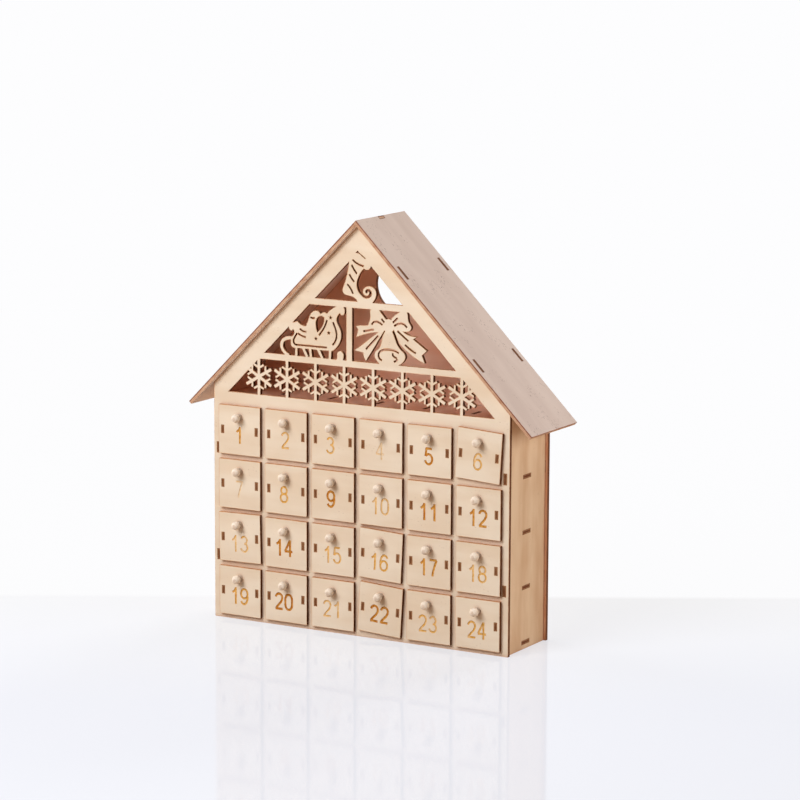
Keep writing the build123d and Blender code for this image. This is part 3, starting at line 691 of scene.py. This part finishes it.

# %% [markdown]
# ## The wood of the knobs
# The knobs are birch, turned on a lathe: pale and smooth, with fibres that run along the axis.
# Where they end at the tip, the open grain is a little darker. The groove behind the ball and
# the collar are painted brown as shade under the ball. The knob's shape stores how far each
# point stands in front of the plate, and the material reads that.

# %% Turned birch
def turned_birch():
    """Birch off the lathe: pale, smooth, faint fibres, darker tip, and collar painted brown as
    shade.
    """
    material = bpy.data.materials.new("turned_birch")
    material.use_nodes = True
    tree = material.node_tree
    shader = tree.nodes["Principled BSDF"]
    place = add(tree, "ShaderNodeTexCoord").outputs["Object"]

    # Fibres run along the axis: 12 mm long, 0.7 mm wide
    fibre_place = add(tree, "ShaderNodeMapping",
                      {"Vector": place,
                       "Scale": (1 / (0.7 * mm), 1 / (12 * mm), 1 / (0.7 * mm))})
    fibre = add(tree, "ShaderNodeTexNoise",
                {"Vector": fibre_place.outputs[0], "Scale": 1.0, "Detail": 3.0})
    share = add(tree, "ShaderNodeMapRange",
                {"Value": fibre.outputs["Fac"], "From Min": 0.3, "From Max": 0.8})
    pale = add(tree, "ShaderNodeMix",
               {0: share.outputs[0], 6: linear("#FCF0E2"), 7: linear("#E8D2B6")}, data_type="RGBA")

    # The tip is 7.5 mm in front of the plate, and the groove ends 3.2 mm in front of it
    along = add(tree, "ShaderNodeAttribute", attribute_name="along_mm").outputs["Fac"]
    tip = add(tree, "ShaderNodeMapRange",
              {"Value": along, "From Min": 7.2, "From Max": 7.5, "To Max": 0.3})
    spotted = add(tree, "ShaderNodeMix",
                  {0: tip.outputs[0], 6: pale.outputs[2], 7: linear("#A97C55")}, data_type="RGBA")
    # Painted shade: the neck and collar behind the ball turn brown
    scorch_and_neck_shade = add(tree, "ShaderNodeMapRange",
               {"Value": along, "From Min": 3.2, "From Max": 2.4, "To Max": 0.5})
    colour = add(tree, "ShaderNodeMix",
                 {0: scorch_and_neck_shade.outputs[0], 6: spotted.outputs[2], 7: linear("#6E4426")}, data_type="RGBA")
    tree.links.new(colour.outputs[2], shader.inputs["Base Color"])
    rough = add(tree, "ShaderNodeMapRange",
                {"Value": fibre.outputs["Fac"], "To Min": 0.45, "To Max": 0.6})
    tree.links.new(rough.outputs[0], shader.inputs["Roughness"])
    relief = add(tree, "ShaderNodeBump",
                 {"Height": fibre.outputs["Fac"], "Strength": 0.1, "Distance": 0.02 * mm})
    tree.links.new(relief.outputs[0], shader.inputs["Normal"])
    shader.inputs["Specular IOR Level"].default_value = 0.15
    return material


birch = turned_birch()
print("material:", birch.name)

# %% [markdown]
# ## The knobs' shape
# A turned shape is a profile spun round an axis: a peg, a collar, a short neck and a ball with a
# small flat tip. The tree joins an arc for the ball and straight lines for the rest into a profile
# and sweeps it round a tiny circle, which is the axis. Edges that turn by more than 35 degrees
# stay sharp, the others are shaded smooth.

# %% Knob tree
profile_corners = ("Peg middle", "Peg end", "Peg root", "Collar root", "Collar end", "Neck foot",
                   "Neck end", "Tip rim", "Tip")
knob_inputs = {"Ball radius": "Float", "Ball start": "Float", "Ball sweep": "Float",
               "Ball middle": "Vector", "Place": "Vector", "Lean": "Vector", "Wood": "Material"}
knob_inputs |= {corner: "Vector" for corner in profile_corners}
knob_tree, given = new_tree("turned_knob", knob_inputs)
ball = add(knob_tree, "GeometryNodeCurveArc",
           {"Resolution": 18, "Radius": given["Ball radius"], "Start Angle": given["Ball start"],
            "Sweep Angle": given["Ball sweep"]}, mode="RADIUS")
ball_out = add(knob_tree, "GeometryNodeTransform",
               {"Geometry": ball.outputs[0], "Translation": given["Ball middle"]})
profile = add(knob_tree, "GeometryNodeJoinGeometry", {"Geometry": ball_out.outputs[0]})
for start, end in zip(profile_corners, profile_corners[1:]):
    if start != "Neck end":
        line = add(knob_tree, "GeometryNodeCurvePrimitiveLine",
                   {"Start": given[start], "End": given[end]})
        knob_tree.links.new(line.outputs[0], profile.inputs[0])
axis = add(knob_tree, "GeometryNodeCurvePrimitiveCircle", {"Resolution": 36, "Radius": 0.005 * mm})
spun = add(knob_tree, "GeometryNodeCurveToMesh",
           {"Curve": axis.outputs[0], "Profile Curve": profile.outputs[0]})
welded = add(knob_tree, "GeometryNodeMergeByDistance",
             {"Geometry": spun.outputs[0], "Distance": 0.012 * mm})
at = add(knob_tree, "GeometryNodeInputPosition")
axes = add(knob_tree, "ShaderNodeSeparateXYZ", {"Vector": at.outputs[0]})
along = add(knob_tree, "ShaderNodeMath", {0: axes.outputs["Z"], 1: -1 / mm}, operation="MULTIPLY")
marked = add(knob_tree, "GeometryNodeStoreNamedAttribute",
             {"Geometry": welded.outputs[0], "Name": "along_mm", "Value": along.outputs[0]},
             data_type="FLOAT", domain="POINT")
smooth = add(knob_tree, "GeometryNodeSetShadeSmooth", {"Geometry": marked.outputs[0]})
turn = add(knob_tree, "GeometryNodeInputMeshEdgeAngle")
sharp = add(knob_tree, "FunctionNodeCompare", {0: turn.outputs[0], 1: radians(35)},
            data_type="FLOAT", operation="GREATER_THAN")
creased = add(knob_tree, "GeometryNodeSetShadeSmooth",
              {"Geometry": smooth.outputs[0], "Selection": sharp.outputs[0], "Shade Smooth": False},
              domain="EDGE")
forward = add(knob_tree, "GeometryNodeTransform",
              {"Geometry": creased.outputs[0], "Rotation": (radians(-90), 0, 0)})
placed = add(knob_tree, "GeometryNodeTransform",
             {"Geometry": forward.outputs[0], "Rotation": given["Lean"],
              "Translation": given["Place"]})
end_tree(knob_tree, placed.outputs[0], given["Wood"])
print("knob tree nodes:", len(knob_tree.nodes))

# %% [markdown]
# ## Turning the knobs
# The profile's corners follow from a few sizes: the radii of ball, neck, collar, tip and peg,
# and how far the ball's middle stands in front of the plate.

# %% Turn the knobs
ball_radius = 3.0 * mm
neck_radius = 2.1 * mm
collar_radius = 2.5 * mm
collar_thickness = 1.6 * mm
tip_radius = 0.9 * mm
peg_radius = 1.5 * mm
peg_length = 2.2 * mm
stand = 4.6 * mm
neck_turn = acos(neck_radius / ball_radius)
tip_turn = acos(tip_radius / ball_radius)
knob_shape = {
    "Ball radius": ball_radius, "Ball start": -neck_turn, "Ball sweep": tip_turn + neck_turn,
    "Ball middle": (0, stand, 0), "Wood": birch,
    "Peg middle": (0, -peg_length, 0), "Peg end": (peg_radius, -peg_length, 0),
    "Peg root": (peg_radius, 0, 0), "Collar root": (collar_radius, 0, 0),
    "Collar end": (collar_radius, collar_thickness, 0),
    "Neck foot": (neck_radius, collar_thickness, 0),
    "Neck end": (neck_radius, stand - ball_radius * sin(neck_turn), 0),
    "Tip rim": (tip_radius, stand + ball_radius * sin(tip_turn), 0),
    "Tip": (0, stand + ball_radius, 0)}
for number, (face_y, lean) in drawers.items():
    node = f"knob_{number:02d}"
    low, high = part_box(node)
    centre = (low + high) / 2
    knob = grown(knob_tree, node + "_turned", knob_shape | {
        "Place": (centre.x, face_y, centre.z), "Lean": (0, lean, 0)})
    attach(knob, f"drawer_{number:02d}")
    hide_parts(node)
print("knob faces:", len(knob.data.polygons))

# %% [markdown]
# ## Floor
# The calendar stands on a pale glossy table, and behind the table's edge everything is white.
# A real backdrop would hide the house in views from behind, so the floor goes on instead and
# turns white behind that edge, for the camera only. The near part is a plain laminate that
# keeps a soft shadow and a faint mirror image.

# %% Floor
reach = 15.0
table_edge = 0.1
edge_blur = 0.01
sight = (-0.5, 0.866, 0)


def seen_rays(tree):
    """1 for what the camera sees, straight or in a mirror, and 0 for light on its way."""
    ray = add(tree, "ShaderNodeLightPath").outputs
    seen = add(tree, "ShaderNodeMath", {0: ray["Is Camera Ray"], 1: ray["Is Glossy Ray"]},
               operation="MAXIMUM")
    return add(tree, "ShaderNodeMath", {0: seen.outputs[0], 1: ray["Is Transmission Ray"]},
               operation="MAXIMUM").outputs[0]


def white_laminate():
    """A glossy table top that mirrors a little, keeps a shadow and is plain white past its edge."""
    material = bpy.data.materials.new("white_laminate")
    material.use_nodes = True
    tree = material.node_tree
    shader = tree.nodes["Principled BSDF"]
    shader.inputs["Roughness"].default_value = 0.06
    shader.inputs["Specular IOR Level"].default_value = 0.65
    seen = seen_rays(tree)

    # Seen, the laminate is white; the light that it throws back is that of a warm room
    base = add(tree, "ShaderNodeMix", {0: seen, 6: linear("#AC9682"), 7: linear("#E8EAF0")},
               data_type="RGBA")
    tree.links.new(base.outputs[2], shader.inputs["Base Color"])

    # The table ends behind the house, square to the line of sight; white covers it more and more
    away = add(tree, "ShaderNodeVectorMath",
               {0: add(tree, "ShaderNodeTexCoord").outputs["Object"], 1: sight},
               operation="DOT_PRODUCT").outputs["Value"]
    near = add(tree, "ShaderNodeMapRange",
               {"Value": away, "From Min": -0.6, "From Max": table_edge - edge_blur,
                "To Min": 0.48, "To Max": 0.64})
    white = add(tree, "ShaderNodeMapRange",
                {"Value": away, "From Min": table_edge - edge_blur, "From Max": table_edge,
                 "To Max": 0.32})
    far = add(tree, "ShaderNodeMapRange",
              {"Value": away, "From Min": table_edge, "From Max": 1.5, "To Max": 0.04})
    cover = add(tree, "ShaderNodeMath", {0: near.outputs[0], 1: white.outputs[0]}, operation="ADD")
    cover = add(tree, "ShaderNodeMath", {0: cover.outputs[0], 1: far.outputs[0]}, operation="ADD")
    share = add(tree, "ShaderNodeMath", {0: cover.outputs[0], 1: seen}, operation="MULTIPLY")

    # The near part of the table is a little cooler than the backdrop
    cool = add(tree, "ShaderNodeMapRange",
               {"Value": away, "From Min": -0.2, "From Max": table_edge})
    colour = add(tree, "ShaderNodeMix",
                 {0: cool.outputs[0], 6: linear("#F5F7FF"), 7: linear("#FDFDFE")}, data_type="RGBA")
    backdrop = add(tree, "ShaderNodeEmission", {"Color": colour.outputs[2], "Strength": 1.0})
    both = add(tree, "ShaderNodeMixShader",
               {0: share.outputs[0], 1: shader.outputs[0], 2: backdrop.outputs[0]})
    tree.links.new(both.outputs[0], tree.nodes["Material Output"].inputs["Surface"])
    return material


floor_mesh = bpy.data.meshes.new("table")
floor_mesh.from_pydata([(-reach, -reach, 0), (reach, -reach, 0), (reach, reach, 0),
                        (-reach, reach, 0)], [], [(0, 1, 2, 3)])
floor_mesh.materials.append(white_laminate())
floor = bpy.data.objects.new("table", floor_mesh)
scene.collection.objects.link(floor)
print("floor:", 2 * reach, "m square")

# %% [markdown]
# ## World and lamps
# The background is white for the camera and for reflections only: the world lights the object
# with far less than that, so the wood keeps its colour. A soft box in front, above and a little
# to the left, gives the knobs and plates their shadows. One at each side lights the walls and
# roof slabs, and one behind the house shines through the round hole into the gable.

# %% World and lamps
world = bpy.data.worlds.new("studio")
world.use_nodes = True
scene.world = world
sky = world.node_tree
for node in list(sky.nodes):
    sky.nodes.remove(node)
seen = seen_rays(sky)
strength = add(sky, "ShaderNodeMapRange", {"Value": seen, "To Min": 0.1, "To Max": 1.0})
tint = add(sky, "ShaderNodeMix", {0: seen, 6: linear("#FFCFA8"), 7: linear("#FDFDFE")},
           data_type="RGBA")
light = add(sky, "ShaderNodeBackground",
            {"Color": tint.outputs[2], "Strength": strength.outputs[0]})
add(sky, "ShaderNodeOutputWorld", {"Surface": light.outputs[0]})


def soft_lamp(name, place, size, power, colour):
    """A square soft box that looks at the middle of the house."""
    data = bpy.data.lights.new(name, "AREA")
    data.size = size
    data.energy = power
    data.color = linear(colour)[:3]
    lamp = bpy.data.objects.new(name, data)
    lamp.location = place
    lamp.rotation_euler = (house_middle - lamp.location).to_track_quat("-Z", "Y").to_euler()
    scene.collection.objects.link(lamp)


soft_lamp("key_box", (-0.35, -1.15, 0.95), 0.85, 19.5, "#FAFCFF")
soft_lamp("side_box", (1.5, 0.35, 0.5), 0.9, 12, "#FFFFFF")
soft_lamp("left_box", (-1.5, 0.2, 0.5), 0.9, 12, "#FFFFFF")
soft_lamp("back_box", (0.2, 2.0, 0.9), 0.9, 28, "#FFFFFF")
scene.view_settings.view_transform = "Standard"
